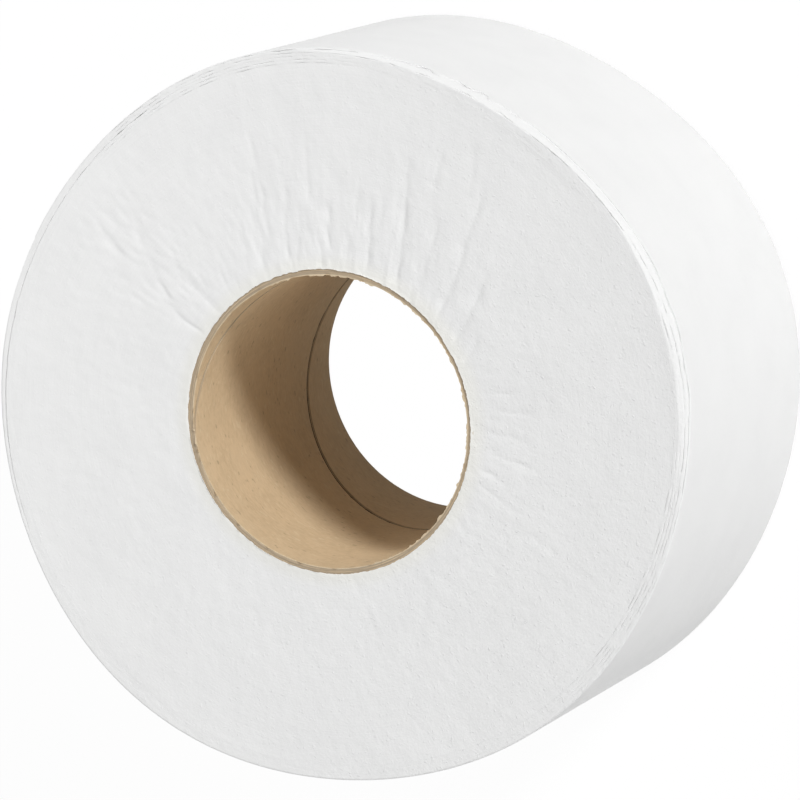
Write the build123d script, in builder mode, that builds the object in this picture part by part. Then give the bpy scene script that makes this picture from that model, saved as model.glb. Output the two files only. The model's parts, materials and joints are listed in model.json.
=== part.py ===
from build123d import *
from math import acos, atan2, cos, degrees, exp, radians, sin
import os

# A wide toilet paper roll standing on its end: two-ply tissue wound on a board tube.
# Millimetres, +Z up along the bore, origin on the bore's axis at the lower end.

# Driving dimensions
roll_diameter = 190.0
roll_width = 90.0
core_bore = 76.0
core_wall = 1.6
edge_softness = 1.0

# The soft roll is not quite round: its rim is a band pulled round these circles, in turn about the axis.
# Each is given by how much its radius is below the roll's, and by the X and Y of its centre.
swellings = (
    (17.7, -2.3, -20.6),
    (6.0, 6.4, -2.4),
    (0.7, 0.1, -0.8),
    (14.4, -7.8, 12.0),
    (2.2, -1.2, -3.4),
)
round_side = 2

# The last turns are loose, so a spiral gap opens between them at both ends.
loose_turns = 3
gap_inset = 1.9
turn_spacing = 1.1
gap_width = 0.35
gap_depth = 0.8

# The free end of the sheet stops in a low step across the round side of the rim.
tail_angle = 38.0
tail_fade = 50.0
tail_step = 0.4
tail_clearance = 3.0

# Puckers pressed in the upper end run out from the tube. Each is the trace of a sloping round rod.
pucker_round = 2.0
pucker_start = 36.0
pucker_lift = 0.1

# The long puckers lean towards one side of the roll, and every other one is shorter.
fan_count = 14
fan_first = 18.0
fan_spacing = -7.4
fan_wander = 1.6
fan_wander_rate = 2.3
fan_middle = -22.0
fan_spread = 0.42
fan_length = 14.0
fan_extra = 22.0
fan_longest = -55.0
fan_reach = 32.0
fan_shorter = 0.7
fan_depth = 0.55

# The short puckers lie beside them, almost along the radius.
short_count = 6
short_first = -99.0
short_spacing = -6.8
short_turn = -8.0
short_length = 15.0
short_depth = 0.4

# Two folds of a crumple reach most of the way to the rim, each end given by radius and angle.
crumple_depth = 0.45
crumple_ends = (
    ((41.5, 36.5), (68.0, 23.5)),
    ((41.5, 24.5), (88.0, 30.0)),
)

# The innermost strip of the tube winds round in a helix, and its edges leave an open seam.
seam_pitch = 74.0
seam_angle = 90.0
seam_height = 19.0
seam_width = 0.7
seam_depth = 0.4
seam_overrun = 5.0

# Worked out from the driving dimensions
core_radius = core_bore / 2 + core_wall
top_plane = Plane.XY.offset(roll_width)


def polar(radius, angle):
    """Point of the end at this radius and angle."""
    return Vector(radius * cos(radians(angle)), radius * sin(radians(angle)), 0)


def swelling(index):
    """Radius and centre of one of the circles that the rim is pulled round."""
    shrink, x, y = swellings[index % len(swellings)]
    return roll_diameter / 2 - shrink, Vector(x, y, 0)


def handover(index):
    """Direction the rim faces where it leaves this circle for the next."""
    radius, centre = swelling(index)
    next_radius, next_centre = swelling(index + 1)
    step = next_centre - centre
    return degrees(atan2(step.Y, step.X) - acos((radius - next_radius) / step.length))


def rim(inset, shift=0.0):
    """Edges of the rim moved in by the inset and along X by the shift: arcs joined by straight stretches."""
    with BuildLine() as outline:
        arcs = []
        for index in range(len(swellings)):
            radius, centre = swelling(index)
            first = handover(index - 1)
            span = (handover(index) - first) % 360
            arcs.append(CenterArc(centre + Vector(shift, 0, 0), radius - inset, first, span))
        for arc, following in zip(arcs, arcs[1:] + arcs[:1]):
            Line(arc @ 1, following @ 0)
    return outline.edges()


def fan_puckers():
    """Start, end and depth of each long pucker."""
    found = []
    for i in range(fan_count):
        angle = fan_first + fan_spacing * i + fan_wander * sin(fan_wander_rate * i)
        heading = fan_middle + fan_spread * (angle - fan_middle)
        length = fan_length + fan_extra * exp(-(((angle - fan_longest) / fan_reach) ** 2))
        if i % 2:
            length *= fan_shorter
        start = polar(pucker_start, angle)
        found.append((start, start + polar(length, heading), fan_depth))
    return found


def short_puckers():
    """Start, end and depth of each short pucker."""
    found = []
    for i in range(short_count):
        angle = short_first + short_spacing * i
        start = polar(pucker_start, angle)
        found.append((start, start + polar(short_length, angle + short_turn), short_depth))
    return found


def crumple_folds():
    """Start, end and depth of each fold of the crumple."""
    return [(polar(*start), polar(*end), crumple_depth) for start, end in crumple_ends]


# Wound tissue: all its turns are one solid
with BuildPart() as wound_paper:
    with BuildSketch():
        make_face(rim(0))
        Circle(core_radius, mode=Mode.SUBTRACT)
    extrude(amount=roll_width)
    ends = wound_paper.faces().filter_by(Axis.Z)
    chamfer([edge for end in ends for edge in end.outer_wire().edges()], edge_softness)

    # Step at the free end of the sheet
    side_radius, side_centre = swelling(round_side)
    with BuildSketch():
        with BuildLine():
            under = ThreePointArc(
                side_centre + polar(side_radius - tail_step, tail_angle),
                side_centre + polar(side_radius - tail_step / 2, tail_angle + tail_fade / 2),
                side_centre + polar(side_radius, tail_angle + tail_fade),
            )
            over = CenterArc(side_centre, side_radius + tail_clearance, tail_angle, tail_fade)
            Line(under @ 0, over @ 0)
            Line(under @ 1, over @ 1)
        make_face()
    extrude(amount=roll_width, mode=Mode.SUBTRACT)

    # Spiral gap between the loose turns at both ends, in half turns about two centres
    for end_plane, depth in ((Plane.XY, gap_depth), (top_plane, -gap_depth)):
        for half in range(2 * loose_turns):
            inset = gap_inset + turn_spacing * half / 2
            shift = -turn_spacing / 2 if half % 2 else 0.0
            side = roll_diameter if half % 2 else -roll_diameter
            with BuildSketch(end_plane):
                make_face(rim(inset, shift))
                make_face(rim(inset + gap_width, shift), mode=Mode.SUBTRACT)
                with Locations((0, side / 2)):
                    Rectangle(2 * roll_diameter, roll_diameter, mode=Mode.INTERSECT)
            extrude(amount=depth, mode=Mode.SUBTRACT)

    # Puckers and folds of the upper end
    for start, end, depth in fan_puckers() + short_puckers() + crumple_folds():
        low = start + Vector(0, 0, roll_width + pucker_round - depth)
        high = end + Vector(0, 0, roll_width + pucker_round + pucker_lift)
        with BuildSketch(Plane(origin=low, z_dir=high - low)):
            Circle(pucker_round)
        extrude(amount=(high - low).length, mode=Mode.SUBTRACT)
wound_paper.part.label = "wound_paper"

# Board tube the sheet is wound on, sawn off flush with it
with BuildPart() as core_tube:
    with BuildSketch():
        Circle(core_radius)
        Circle(core_bore / 2, mode=Mode.SUBTRACT)
    extrude(amount=roll_width)

    # Open seam of the innermost strip: the helix starts on the X axis a turn below and runs out at the top
    seam_start = seam_height - seam_pitch * (1 + seam_angle / 360)
    with BuildLine() as seam:
        Helix(
            pitch=seam_pitch,
            height=roll_width + seam_overrun - seam_start,
            radius=core_bore / 2,
            center=(0, 0, seam_start),
        )
    with BuildSketch(Plane(origin=seam.line @ 0, z_dir=seam.line % 0)):
        Rectangle(2 * seam_depth, seam_width)
    sweep(path=seam.line, is_frenet=True, mode=Mode.SUBTRACT)
core_tube.part.label = "core_tube"

os.makedirs("parts", exist_ok=True)
export_step(wound_paper.part, "parts/wound_paper.step")
export_step(core_tube.part, "parts/core_tube.step")
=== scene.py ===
"""Looks of a wide toilet paper roll that stands on its end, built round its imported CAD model.

Lengths are millimetres and angles degrees until a mesh is made. The finishes read metres, as the
meshes do. +Z runs up along the bore.
"""

import json
import logging
import math
from dataclasses import dataclass
from enum import Enum
from typing import Any, ClassVar, Mapping, Optional, Sequence, Union

import bmesh
import bpy
import numpy as np
from mathutils import Matrix, Vector


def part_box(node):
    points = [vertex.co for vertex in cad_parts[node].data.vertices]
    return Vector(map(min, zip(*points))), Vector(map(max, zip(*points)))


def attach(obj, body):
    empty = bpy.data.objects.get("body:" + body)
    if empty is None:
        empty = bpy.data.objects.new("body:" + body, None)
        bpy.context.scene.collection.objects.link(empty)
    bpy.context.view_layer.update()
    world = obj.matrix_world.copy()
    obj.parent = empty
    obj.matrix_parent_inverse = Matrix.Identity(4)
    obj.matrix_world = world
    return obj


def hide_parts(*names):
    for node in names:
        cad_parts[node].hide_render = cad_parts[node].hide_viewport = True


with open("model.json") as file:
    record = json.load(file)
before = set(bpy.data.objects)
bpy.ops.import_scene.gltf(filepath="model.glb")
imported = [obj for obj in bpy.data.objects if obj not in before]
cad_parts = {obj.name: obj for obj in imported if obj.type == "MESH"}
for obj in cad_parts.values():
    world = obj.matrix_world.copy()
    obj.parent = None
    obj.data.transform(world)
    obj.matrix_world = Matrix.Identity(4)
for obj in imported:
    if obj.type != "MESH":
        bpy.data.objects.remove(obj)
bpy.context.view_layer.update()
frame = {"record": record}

LOG = logging.getLogger("paper_roll")
MM = 0.001
NOISE_MIDDLE = 0.5
FIBRE_STEPS = 4
FIBRE_SIDES = 3
WHITE = (1.0, 1.0, 1.0, 1.0)
Pair = tuple[float, float]
Triple = tuple[float, float, float]
Span = tuple[float, float, float, float]
Layers = tuple[Triple, ...]
Term = Union["Value", float]


class RollEnd(Enum):
    """The two sawn ends of the roll, by the way that they face."""

    UPPER = 1
    LOWER = -1


class FoldKind(Enum):
    """Whether a fold of the sawn end is pressed in or stands up."""

    VALLEY = -1
    RIDGE = 1


class Value:
    """A number of a node tree. Arithmetic on it adds Math nodes."""

    def __init__(self, graph: "Graph", socket: bpy.types.NodeSocket) -> None:
        """Keeps the socket and the graph that it belongs to."""
        self.graph = graph
        self.socket = socket

    def does(self, operation: str, *others: Term) -> "Value":
        """Applies a Math node.

        Args:
            operation: The Math node's operation.
            others: The second and third terms, if the operation has them.

        Returns:
            The result.
        """
        terms = dict(enumerate((self, *others)))
        return self.graph.node("ShaderNodeMath", {"operation": operation}, terms).out()

    def __add__(self, other: Term) -> "Value":
        """Sum."""
        return self.does("ADD", other)

    __radd__ = __add__

    def __mul__(self, other: Term) -> "Value":
        """Product."""
        return self.does("MULTIPLY", other)

    __rmul__ = __mul__

    def __sub__(self, other: Term) -> "Value":
        """Difference."""
        return self.does("SUBTRACT", other)

    def __rsub__(self, other: Term) -> "Value":
        """Difference the other way round."""
        return self * -1.0 + other

    def __truediv__(self, other: Term) -> "Value":
        """Quotient."""
        return self.does("DIVIDE", other)

    def __pow__(self, other: Term) -> "Value":
        """Power."""
        return self.does("POWER", other)

    def cos(self) -> "Value":
        """Cosine of an angle in radians."""
        return self.does("COSINE")

    def sin(self) -> "Value":
        """Sine of an angle in radians."""
        return self.does("SINE")

    def ramp(self, low: float, high: float) -> "Value":
        """Smooth rise from 0 at low to 1 at high.

        Args:
            low: Where it starts.
            high: Where it ends, above or below low.

        Returns:
            The rise.
        """
        settings = {"interpolation_type": "SMOOTHSTEP"}
        if high > low:
            sockets = {0: self, 1: low, 2: high}
            return self.graph.node("ShaderNodeMapRange", settings, sockets).out()
        return 1.0 - self.ramp(high, low)

    def between(self, span: Span) -> "Value":
        """Smooth rise between the first two numbers of a span and fall between the last two."""
        start, full, falling, end = span
        return self.ramp(start, full) * self.ramp(end, falling)


class Made:
    """A node that a graph has made."""

    def __init__(self, graph: "Graph", node: bpy.types.Node) -> None:
        """Keeps the node and its graph."""
        self.graph = graph
        self.node = node

    def out(self, key: Union[int, str] = 0) -> Value:
        """Output by its place or name."""
        return Value(self.graph, self.node.outputs[key])


class Graph:
    """A node tree that is written as expressions."""

    def __init__(self, tree: bpy.types.NodeTree) -> None:
        """Empties the tree."""
        self.tree = tree
        self.tree.nodes.clear()

    def node(
        self,
        kind: str,
        settings: Optional[Mapping[str, Any]] = None,
        sockets: Optional[Mapping[Union[int, str], Any]] = None,
    ) -> Made:
        """Adds a node.

        Args:
            kind: The node's type.
            settings: Its properties, set first.
            sockets: Values or links of its inputs, by place or name.

        Returns:
            The node.
        """
        node = self.tree.nodes.new(kind)
        for name, value in (settings or {}).items():
            setattr(node, name, value)
        for key, value in (sockets or {}).items():
            if isinstance(value, Value):
                self.tree.links.new(value.socket, node.inputs[key])
            else:
                node.inputs[key].default_value = value
        return Made(self, node)

    def vector(self, x: Term, y: Term, z: Term) -> Value:
        """Vector of three numbers."""
        return self.node("ShaderNodeCombineXYZ", None, {0: x, 1: y, 2: z}).out()

    def parts(self, vector: Value) -> tuple[Value, Value, Value]:
        """The three numbers of a vector."""
        made = self.node("ShaderNodeSeparateXYZ", None, {0: vector})
        return made.out(0), made.out(1), made.out(2)

    def noise(self, vector: Value, scale: float, detail: float) -> Value:
        """Noise in space.

        Args:
            vector: Where it is read.
            scale: Its cells per unit of length.
            detail: Its octaves.

        Returns:
            A number about 0.5.
        """
        sockets = {"Vector": vector, "Scale": scale, "Detail": detail}
        return self.node("ShaderNodeTexNoise", {"noise_dimensions": "3D"}, sockets).out()

    def stretched_noise(self, place: Sequence[Value], cells: Triple, detail: float) -> Value:
        """Noise in space with its own cells per unit along each of three coordinates, about 0.5."""
        scaled = [value * count for value, count in zip(place, cells)]
        return self.noise(self.vector(*scaled), 1.0, detail)

    def noise_along(self, place: Value, scale: float, detail: float = 2.0) -> Value:
        """Noise along a line, about 0.5."""
        sockets = {"W": place, "Scale": scale, "Detail": detail}
        return self.node("ShaderNodeTexNoise", {"noise_dimensions": "1D"}, sockets).out()

    def blend(self, share: Term, first: Any, second: Any) -> Value:
        """Mix of two colours.

        Args:
            share: How much of the second there is.
            first: A colour.
            second: Another colour.

        Returns:
            The mixed colour.
        """
        sockets = {0: share, 6: as_rgba(first), 7: as_rgba(second)}
        return self.node("ShaderNodeMix", {"data_type": "RGBA"}, sockets).out(2)

    def swept(self, path: Value, profile: Value) -> Value:
        """Closed mesh of a profile along a path."""
        sockets = {"Curve": path, "Profile Curve": profile, "Fill Caps": True}
        return self.node("GeometryNodeCurveToMesh", None, sockets).out()

    def circle(self, points: int, radius: Value) -> Value:
        """Circle of a number of points."""
        sockets = {"Resolution": points, "Radius": radius}
        return self.node("GeometryNodeCurvePrimitiveCircle", None, sockets).out()

    def fibre(self, bend: Sequence[Triple], thickness: Value) -> Value:
        """Thin tube along a bend that its start, middle and end give."""
        sockets = dict(zip(("Start", "Middle", "End"), bend), Resolution=FIBRE_STEPS)
        path = self.node("GeometryNodeCurveQuadraticBezier", None, sockets).out()
        return self.swept(path, self.circle(FIBRE_SIDES, thickness))

    def chance(self, least: Triple, most: Triple, seed: int) -> Value:
        """Random vector of each point."""
        sockets = {"Min": least, "Max": most, "Seed": seed}
        return self.node("FunctionNodeRandomValue", {"data_type": "FLOAT_VECTOR"}, sockets).out(0)

    def moved(self, geometry: Value, place: Value) -> Value:
        """Geometry with its points put at a place."""
        sockets = {"Geometry": geometry, "Position": place}
        return self.node("GeometryNodeSetPosition", None, sockets).out()

    def instances(self, points: Value, shape: Value, turn: Value, size: Value) -> Value:
        """A shape on every point, turned and scaled."""
        sockets = {"Points": points, "Instance": shape, "Rotation": turn, "Scale": size}
        return self.node("GeometryNodeInstanceOnPoints", None, sockets).out()


def as_rgba(colour: Any) -> Any:
    """Adds alpha to a plain colour and leaves a linked one alone."""
    return colour if isinstance(colour, Value) else (*colour, 1.0)


def weighted(values: Sequence[Value], weights: Sequence[float]) -> Value:
    """Sum of values, each times its weight."""
    total = values[0] * weights[0]
    for value, weight in zip(values[1:], weights[1:]):
        total = total + value * weight
    return total


def smooth_step(x: np.ndarray) -> np.ndarray:
    """Smooth rise from 0 to 1 as x does."""
    x = np.clip(x, 0.0, 1.0)
    return x * x * (3.0 - 2.0 * x)


def window(x: np.ndarray, middle: float, reach: float, end: float) -> np.ndarray:
    """Smooth window.

    Args:
        x: Where it is read.
        middle: Where it is 1.
        reach: Distance over which it falls from 1 to 0.
        end: Where it has fallen to 0, in reaches from the middle.

    Returns:
        Numbers from 0 to 1.
    """
    return smooth_step(end - np.abs(x - middle) / reach)


def lattice_noise(x: np.ndarray, y: np.ndarray, seed: int) -> np.ndarray:
    """Smooth noise from a lattice of random heights.

    Args:
        x: First coordinate, in cells.
        y: Second coordinate, in cells.
        seed: Seed of the heights.

    Returns:
        Numbers from -1 to 1.
    """
    side = 128
    table = np.random.default_rng(seed).uniform(-1.0, 1.0, (side, side))
    ix, iy = np.floor(x).astype(int), np.floor(y).astype(int)
    fx, fy = smooth_step(x - ix), smooth_step(y - iy)
    x0, x1, y0, y1 = ix % side, (ix + 1) % side, iy % side, (iy + 1) % side
    near = table[x0, y0] * (1 - fx) + table[x1, y0] * fx
    far = table[x0, y1] * (1 - fx) + table[x1, y1] * fx
    return near * (1 - fy) + far * fy


def layered(x: np.ndarray, y: np.ndarray, layers: Layers, seed: int, base: Any = 0.0) -> np.ndarray:
    """Adds layers of noise.

    Args:
        x: First coordinate.
        y: Second coordinate.
        layers: Height of each layer, and the length of its cells along x and y.
        seed: Seed of the first layer. Each one takes the next.
        base: What they are added to.

    Returns:
        The sum.
    """
    for place, (amount, long, wide) in enumerate(layers):
        base = base + amount * lattice_noise(x / long, y / wide, seed + place)
    return base


def polar(radius: Any, turn: np.ndarray, z: Any) -> np.ndarray:
    """Points at radii, angles in radians and heights."""
    return np.stack([radius * np.cos(turn), radius * np.sin(turn), z + 0.0 * turn], axis=-1)


def ring_mesh(
    name: str, rings: np.ndarray, closed: bool = False, wrapped: bool = True, crisp: float = 180.0
) -> bpy.types.Mesh:
    """Joins rings of points into a mesh of quads.

    Args:
        name: Name of the mesh.
        rings: Points in millimetres, by ring, place on the ring and coordinate.
        closed: Whether the last ring joins the first.
        wrapped: Whether each ring's last point joins its first.
        crisp: Angle between faces from which their edge is drawn sharp.

    Returns:
        The mesh, in metres.
    """
    count, size, _ = rings.shape
    here = np.arange(count * size).reshape(count, size)
    if closed:
        here = np.vstack([here, here[:1]])
    if wrapped:
        here = np.hstack([here, here[:, :1]])
    corners = [here[:-1, :-1], here[1:, :-1], here[1:, 1:], here[:-1, 1:]]
    quads = np.stack(corners, axis=-1).reshape(-1, 4)
    mesh = bpy.data.meshes.new(name)
    mesh.from_pydata((rings.reshape(-1, 3) * MM).tolist(), [], quads.tolist())
    mesh.shade_smooth()
    mesh.set_sharp_from_angle(angle=math.radians(crisp))
    return mesh


def joined(name: str, meshes: Sequence[bpy.types.Mesh]) -> bpy.types.Mesh:
    """One mesh of several."""
    work = bmesh.new()
    for part in meshes:
        work.from_mesh(part)
    mesh = bpy.data.meshes.new(name)
    work.to_mesh(mesh)
    work.free()
    return mesh


def add_object(name: str, data: Any) -> bpy.types.Object:
    """Puts a mesh, lamp or camera in the scene at the origin."""
    piece = bpy.data.objects.new(name, data)
    bpy.context.scene.collection.objects.link(piece)
    return piece


def settle(piece: bpy.types.Object, slot: str, *nodes: str) -> None:
    """Rides a finished piece on the roll and reports it.

    Args:
        piece: The piece.
        slot: The record's material slot.
        nodes: CAD nodes that it stands for.
    """
    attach(piece, "root")
    if nodes:
        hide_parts(*nodes)
    triangles = sum(len(face.vertices) - 2 for face in piece.data.polygons)
    LOG.info("%s: %d triangles, slot %s", piece.name, triangles, slot)


class NodesPiece:
    """A piece that a Geometry Nodes tree makes."""

    def __init__(self, name: str, sizes: Mapping[str, float]) -> None:
        """Starts the tree.

        Args:
            name: Name of the piece and of its tree.
            sizes: Named inputs of the tree and their values.
        """
        self.name = name
        self.sizes = sizes
        self.graph = Graph(bpy.data.node_groups.new(name, "GeometryNodeTree"))
        face = self.graph.tree.interface
        face.new_socket("Geometry", in_out="INPUT", socket_type="NodeSocketGeometry")
        for label in sizes:
            face.new_socket(label, in_out="INPUT", socket_type="NodeSocketFloat")
        face.new_socket("Geometry", in_out="OUTPUT", socket_type="NodeSocketGeometry")
        self.inputs = self.graph.node("NodeGroupInput")

    def size(self, label: str) -> Value:
        """A named input of the tree."""
        return self.inputs.out(label)

    def length(self, share: Value) -> Value:
        """Length of a fibre: most are near the shortest."""
        shortest = self.size("Shortest")
        return share * share * (self.size("Longest") - shortest) + shortest

    def finish(
        self, geometry: Value, material: bpy.types.Material, base: Optional[bpy.types.Mesh] = None
    ) -> bpy.types.Object:
        """Ends the tree and turns its result into a plain mesh.

        Args:
            geometry: What the tree has made.
            material: Its material.
            base: The mesh that the tree starts from, if it needs one.

        Returns:
            The piece.
        """
        graph = self.graph
        real = graph.node("GeometryNodeRealizeInstances", None, {"Geometry": geometry}).out()
        sockets = {"Geometry": real, "Material": material}
        dressed = graph.node("GeometryNodeSetMaterial", None, sockets)
        graph.node("NodeGroupOutput", None, {0: dressed.out()})
        piece = add_object(self.name, base or bpy.data.meshes.new(self.name + "_base"))
        modifier = piece.modifiers.new(self.name, "NODES")
        modifier.node_group = graph.tree
        for item in graph.tree.interface.items_tree:
            if item.in_out == "INPUT" and item.name in self.sizes:
                modifier[item.identifier] = self.sizes[item.name]
        ready = piece.evaluated_get(bpy.context.evaluated_depsgraph_get())
        mesh = bpy.data.meshes.new_from_object(ready)
        mesh.name = self.name
        piece.modifiers.clear()
        piece.data = mesh
        return piece


class Surface:
    """A material on its way, with what a finish reads of each point."""

    def __init__(self, name: str, sawn_band: Pair) -> None:
        """Starts the material.

        Args:
            name: Its name.
            sawn_band: Upright parts of the normal between which a wall turns into a sawn end.
        """
        self.material = bpy.data.materials.new(name)
        self.material.use_nodes = True
        self.graph = Graph(self.material.node_tree)
        self.place = self.graph.node("ShaderNodeTexCoord").out("Object")
        self.x, self.y, self.z = self.graph.parts(self.place)
        self.radius = (self.x * self.x + self.y * self.y) ** 0.5
        normal = self.graph.node("ShaderNodeNewGeometry").out("Normal")
        self.sawn = self.graph.parts(normal)[2].does("ABSOLUTE").ramp(*sawn_band)

    def finish(
        self, colour: Value, height: Value, bump: float, roughness: float, gloss: float
    ) -> bpy.types.Material:
        """Ends the material in its shader.

        Args:
            colour: Base colour.
            height: Height of the bump.
            bump: How far a height of 1 stands out.
            roughness: The shader's roughness.
            gloss: The shader's specular level.

        Returns:
            The material.
        """
        sockets = {"Distance": bump, "Height": height}
        normal = self.graph.node("ShaderNodeBump", None, sockets).out()
        sockets = {"Base Color": colour, "Roughness": roughness, "Normal": normal}
        sockets["Specular IOR Level"] = gloss
        shader = self.graph.node("ShaderNodeBsdfPrincipled", None, sockets)
        self.graph.node("ShaderNodeOutputMaterial", None, {0: shader.out()})
        return self.material


@dataclass(frozen=True)
class TissueFinish:
    """White tissue, fuzzy on the sawn ends and smooth on the side of the last turn.

    The ends are roughest on one side. Heights and shades are weights of the noises.
    """

    name: str = "tissue"
    pale: Triple = (0.86, 0.861, 0.858)
    shade: Triple = (0.815, 0.816, 0.815)
    warm: Triple = (0.845, 0.835, 0.77)
    roughness: float = 0.92
    gloss: float = 0.15
    bump: float = 0.0002
    sawn_band: Pair = (0.35, 0.75)
    cloud_cells: float = 70.0
    fuzz_cells: float = 1500.0
    lump_cells: float = 720.0
    speck_cells: float = 900.0
    speck_band: Pair = (0.64, 0.74)
    grain_cells: Triple = (3800.0, 7.0, 7.0)
    rough_side: Pair = (-0.72, -0.69)
    rough_gain: float = 0.42
    rough_level: float = 0.75
    end_heights: tuple[float, ...] = (0.5, 0.16, 0.25, 0.4)
    sheet_heights: Pair = (0.15, 0.9)
    shades: Triple = (0.9, 0.8, 0.5)
    shade_level: float = 0.3
    warm_band: Pair = (0.0445, 0.0395)
    warm_share: float = 0.55

    def make(self) -> bpy.types.Material:
        """Material of the tissue."""
        surface = Surface(self.name, self.sawn_band)
        graph, place, sawn = surface.graph, surface.place, surface.sawn
        x, y, radius = surface.x, surface.y, surface.radius
        cloud = graph.noise(place, self.cloud_cells, 3.0)
        fuzz = graph.noise(place, self.fuzz_cells, 3.0)
        lump = graph.noise(place, self.lump_cells, 2.0)
        speck = graph.noise(place, self.speck_cells, 1.0).ramp(*self.speck_band)
        grain = graph.stretched_noise((radius, x / radius, y / radius), self.grain_cells, 1.0)
        side = weighted((x, y), self.rough_side) / radius * self.rough_gain + self.rough_level
        end_height = weighted((fuzz, grain, speck, lump), self.end_heights) * side
        sheet_height = weighted((fuzz, cloud), self.sheet_heights)
        height = end_height * sawn + sheet_height * (1.0 - sawn)
        noises = (cloud - NOISE_MIDDLE, (grain - NOISE_MIDDLE) * sawn, fuzz - NOISE_MIDDLE)
        share = weighted(noises, self.shades) + self.shade_level
        colour = graph.blend(share.ramp(0.0, 1.0), self.pale, self.shade)
        warmth = radius.ramp(*self.warm_band) * sawn * self.warm_share
        colour = graph.blend(warmth, colour, self.warm)
        return surface.finish(colour, height, self.bump, self.roughness, self.gloss)


@dataclass(frozen=True)
class BoardFinish:
    """Raw brown board, flecked with fibres, in plies on its sawn end.

    The seam's band is how deep behind the bore its painted shade sets in, and its fade is by height, so
    the painted shade is weaker above about 62 mm. The bore's upper corner gets a painted highlight.
    """

    name: str = "kraft_board"
    kraft: Triple = (0.69, 0.53, 0.34)
    dark: Triple = (0.60, 0.455, 0.285)
    light: Triple = (0.75, 0.62, 0.43)
    fleck: Triple = (0.36, 0.27, 0.17)
    # Near-black painted shade for the open seam's gap, not the board's own colour.
    seam: Triple = (0.02, 0.014, 0.009)
    end: Triple = (0.40, 0.32, 0.23)
    bore: float = 0.038
    roughness: float = 0.85
    gloss: float = 0.25
    bump: float = 0.00012
    sawn_band: Pair = (0.4, 0.8)
    fibre_cells: Triple = (620.0, 620.0, 1100.0)
    cloud_cells: float = 110.0
    speck_cells: Triple = (420.0, 420.0, 900.0)
    ply_cells: Triple = (5200.0, 60.0, 60.0)
    ply_band: Pair = (0.4, 0.85)
    shades: Pair = (1.1, 0.8)
    shade_level: float = 0.5
    dark_band: Pair = (0.25, 0.95)
    light_band: Pair = (0.36, 0.28)
    light_share: float = 0.5
    fleck_band: Pair = (0.69, 0.76)
    fleck_share: float = 0.6
    # Where and how strongly the seam's painted shade shows: by depth behind the bore, and weaker towards
    # the upper end.
    seam_shade_band: Pair = (0.00008, 0.0002)
    seam_shade_fade: Pair = (0.076, 0.062)
    seam_shade_least: float = 0.2
    # Painted highlight: a light line along the inner corner of the tube's upper end.
    highlight_band: Pair = (0.0003, 0.0001)
    highlight_heights: Pair = (0.0889, 0.0893)
    highlight_share: float = 0.7
    heights: Pair = (0.7, 0.25)

    def make(self) -> bpy.types.Material:
        """Material of the board."""
        surface = Surface(self.name, self.sawn_band)
        graph, sawn, z = surface.graph, surface.sawn, surface.z
        x, y, radius = surface.x, surface.y, surface.radius
        fibre = graph.stretched_noise((x, y, z), self.fibre_cells, 4.0)
        cloud = graph.noise(surface.place, self.cloud_cells, 3.0)
        speck = graph.stretched_noise((x, y, z), self.speck_cells, 1.0)
        ply = graph.stretched_noise((radius, x, y), self.ply_cells, 1.0)
        noises = (fibre - NOISE_MIDDLE, cloud - NOISE_MIDDLE)
        share = weighted(noises, self.shades) + self.shade_level
        colour = graph.blend(share.ramp(*self.dark_band), self.kraft, self.dark)
        colour = graph.blend(speck.ramp(*self.light_band) * self.light_share, colour, self.light)
        colour = graph.blend(speck.ramp(*self.fleck_band) * self.fleck_share, colour, self.fleck)
        behind = radius - self.bore
        # Painted shade: the open seam's gap is coloured near black, less so towards the upper end.
        seam_shade_amount = z.ramp(*self.seam_shade_fade) * (1.0 - self.seam_shade_least) + self.seam_shade_least
        painted_seam_shade = behind.ramp(*self.seam_shade_band) * (1.0 - sawn) * seam_shade_amount
        colour = graph.blend(painted_seam_shade, colour, self.seam)
        end = graph.blend(ply.ramp(*self.ply_band), self.end, self.kraft)
        colour = graph.blend(sawn, colour, end)
        # Painted highlight: the pale colour laid on the bore's wall just below the upper end.
        painted_highlight = behind.ramp(*self.highlight_band) * z.ramp(*self.highlight_heights)
        colour = graph.blend(painted_highlight * self.highlight_share, colour, self.light)
        height = weighted((fibre, speck), self.heights) + ply * sawn
        return surface.finish(colour, height, self.bump, self.roughness, self.gloss)


@dataclass(frozen=True)
class Outline:
    """Rim of the soft roll, which is not quite round: lobes by count, height and angle of a crest."""

    radius: float = 95.0
    lobes: tuple[tuple[int, float, float], ...] = (
        (1, 1.46, -89.0),
        (2, 0.35, 91.0),
        (3, 0.68, 6.0),
        (4, 0.22, -4.0),
        (5, 0.48, -19.0),
    )

    def at(self, angle: np.ndarray) -> np.ndarray:
        """Radius at angles in degrees."""
        swell = sum(d * np.cos(np.radians(n * (angle - c))) for n, d, c in self.lobes)
        return self.radius + swell

    def as_nodes(self, angle: Value) -> Value:
        """Radius at an angle in radians, as nodes."""
        swell: Term = self.radius
        for count, depth, crest in self.lobes:
            swell = ((angle - math.radians(crest)) * count).cos() * depth + swell
        return swell


@dataclass(frozen=True)
class Winding:
    """How the last turns lie round the roll, in a spiral that starts at the sheet's free end."""

    turns: int = 5
    spacing: float = 0.85
    last: float = 0.4
    tail_angle: float = 38.0
    fade: float = 50.0

    @property
    def inset(self) -> float:
        """How far the last turns reach in from the rim."""
        return self.spacing * (self.turns - 1) + self.last


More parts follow.
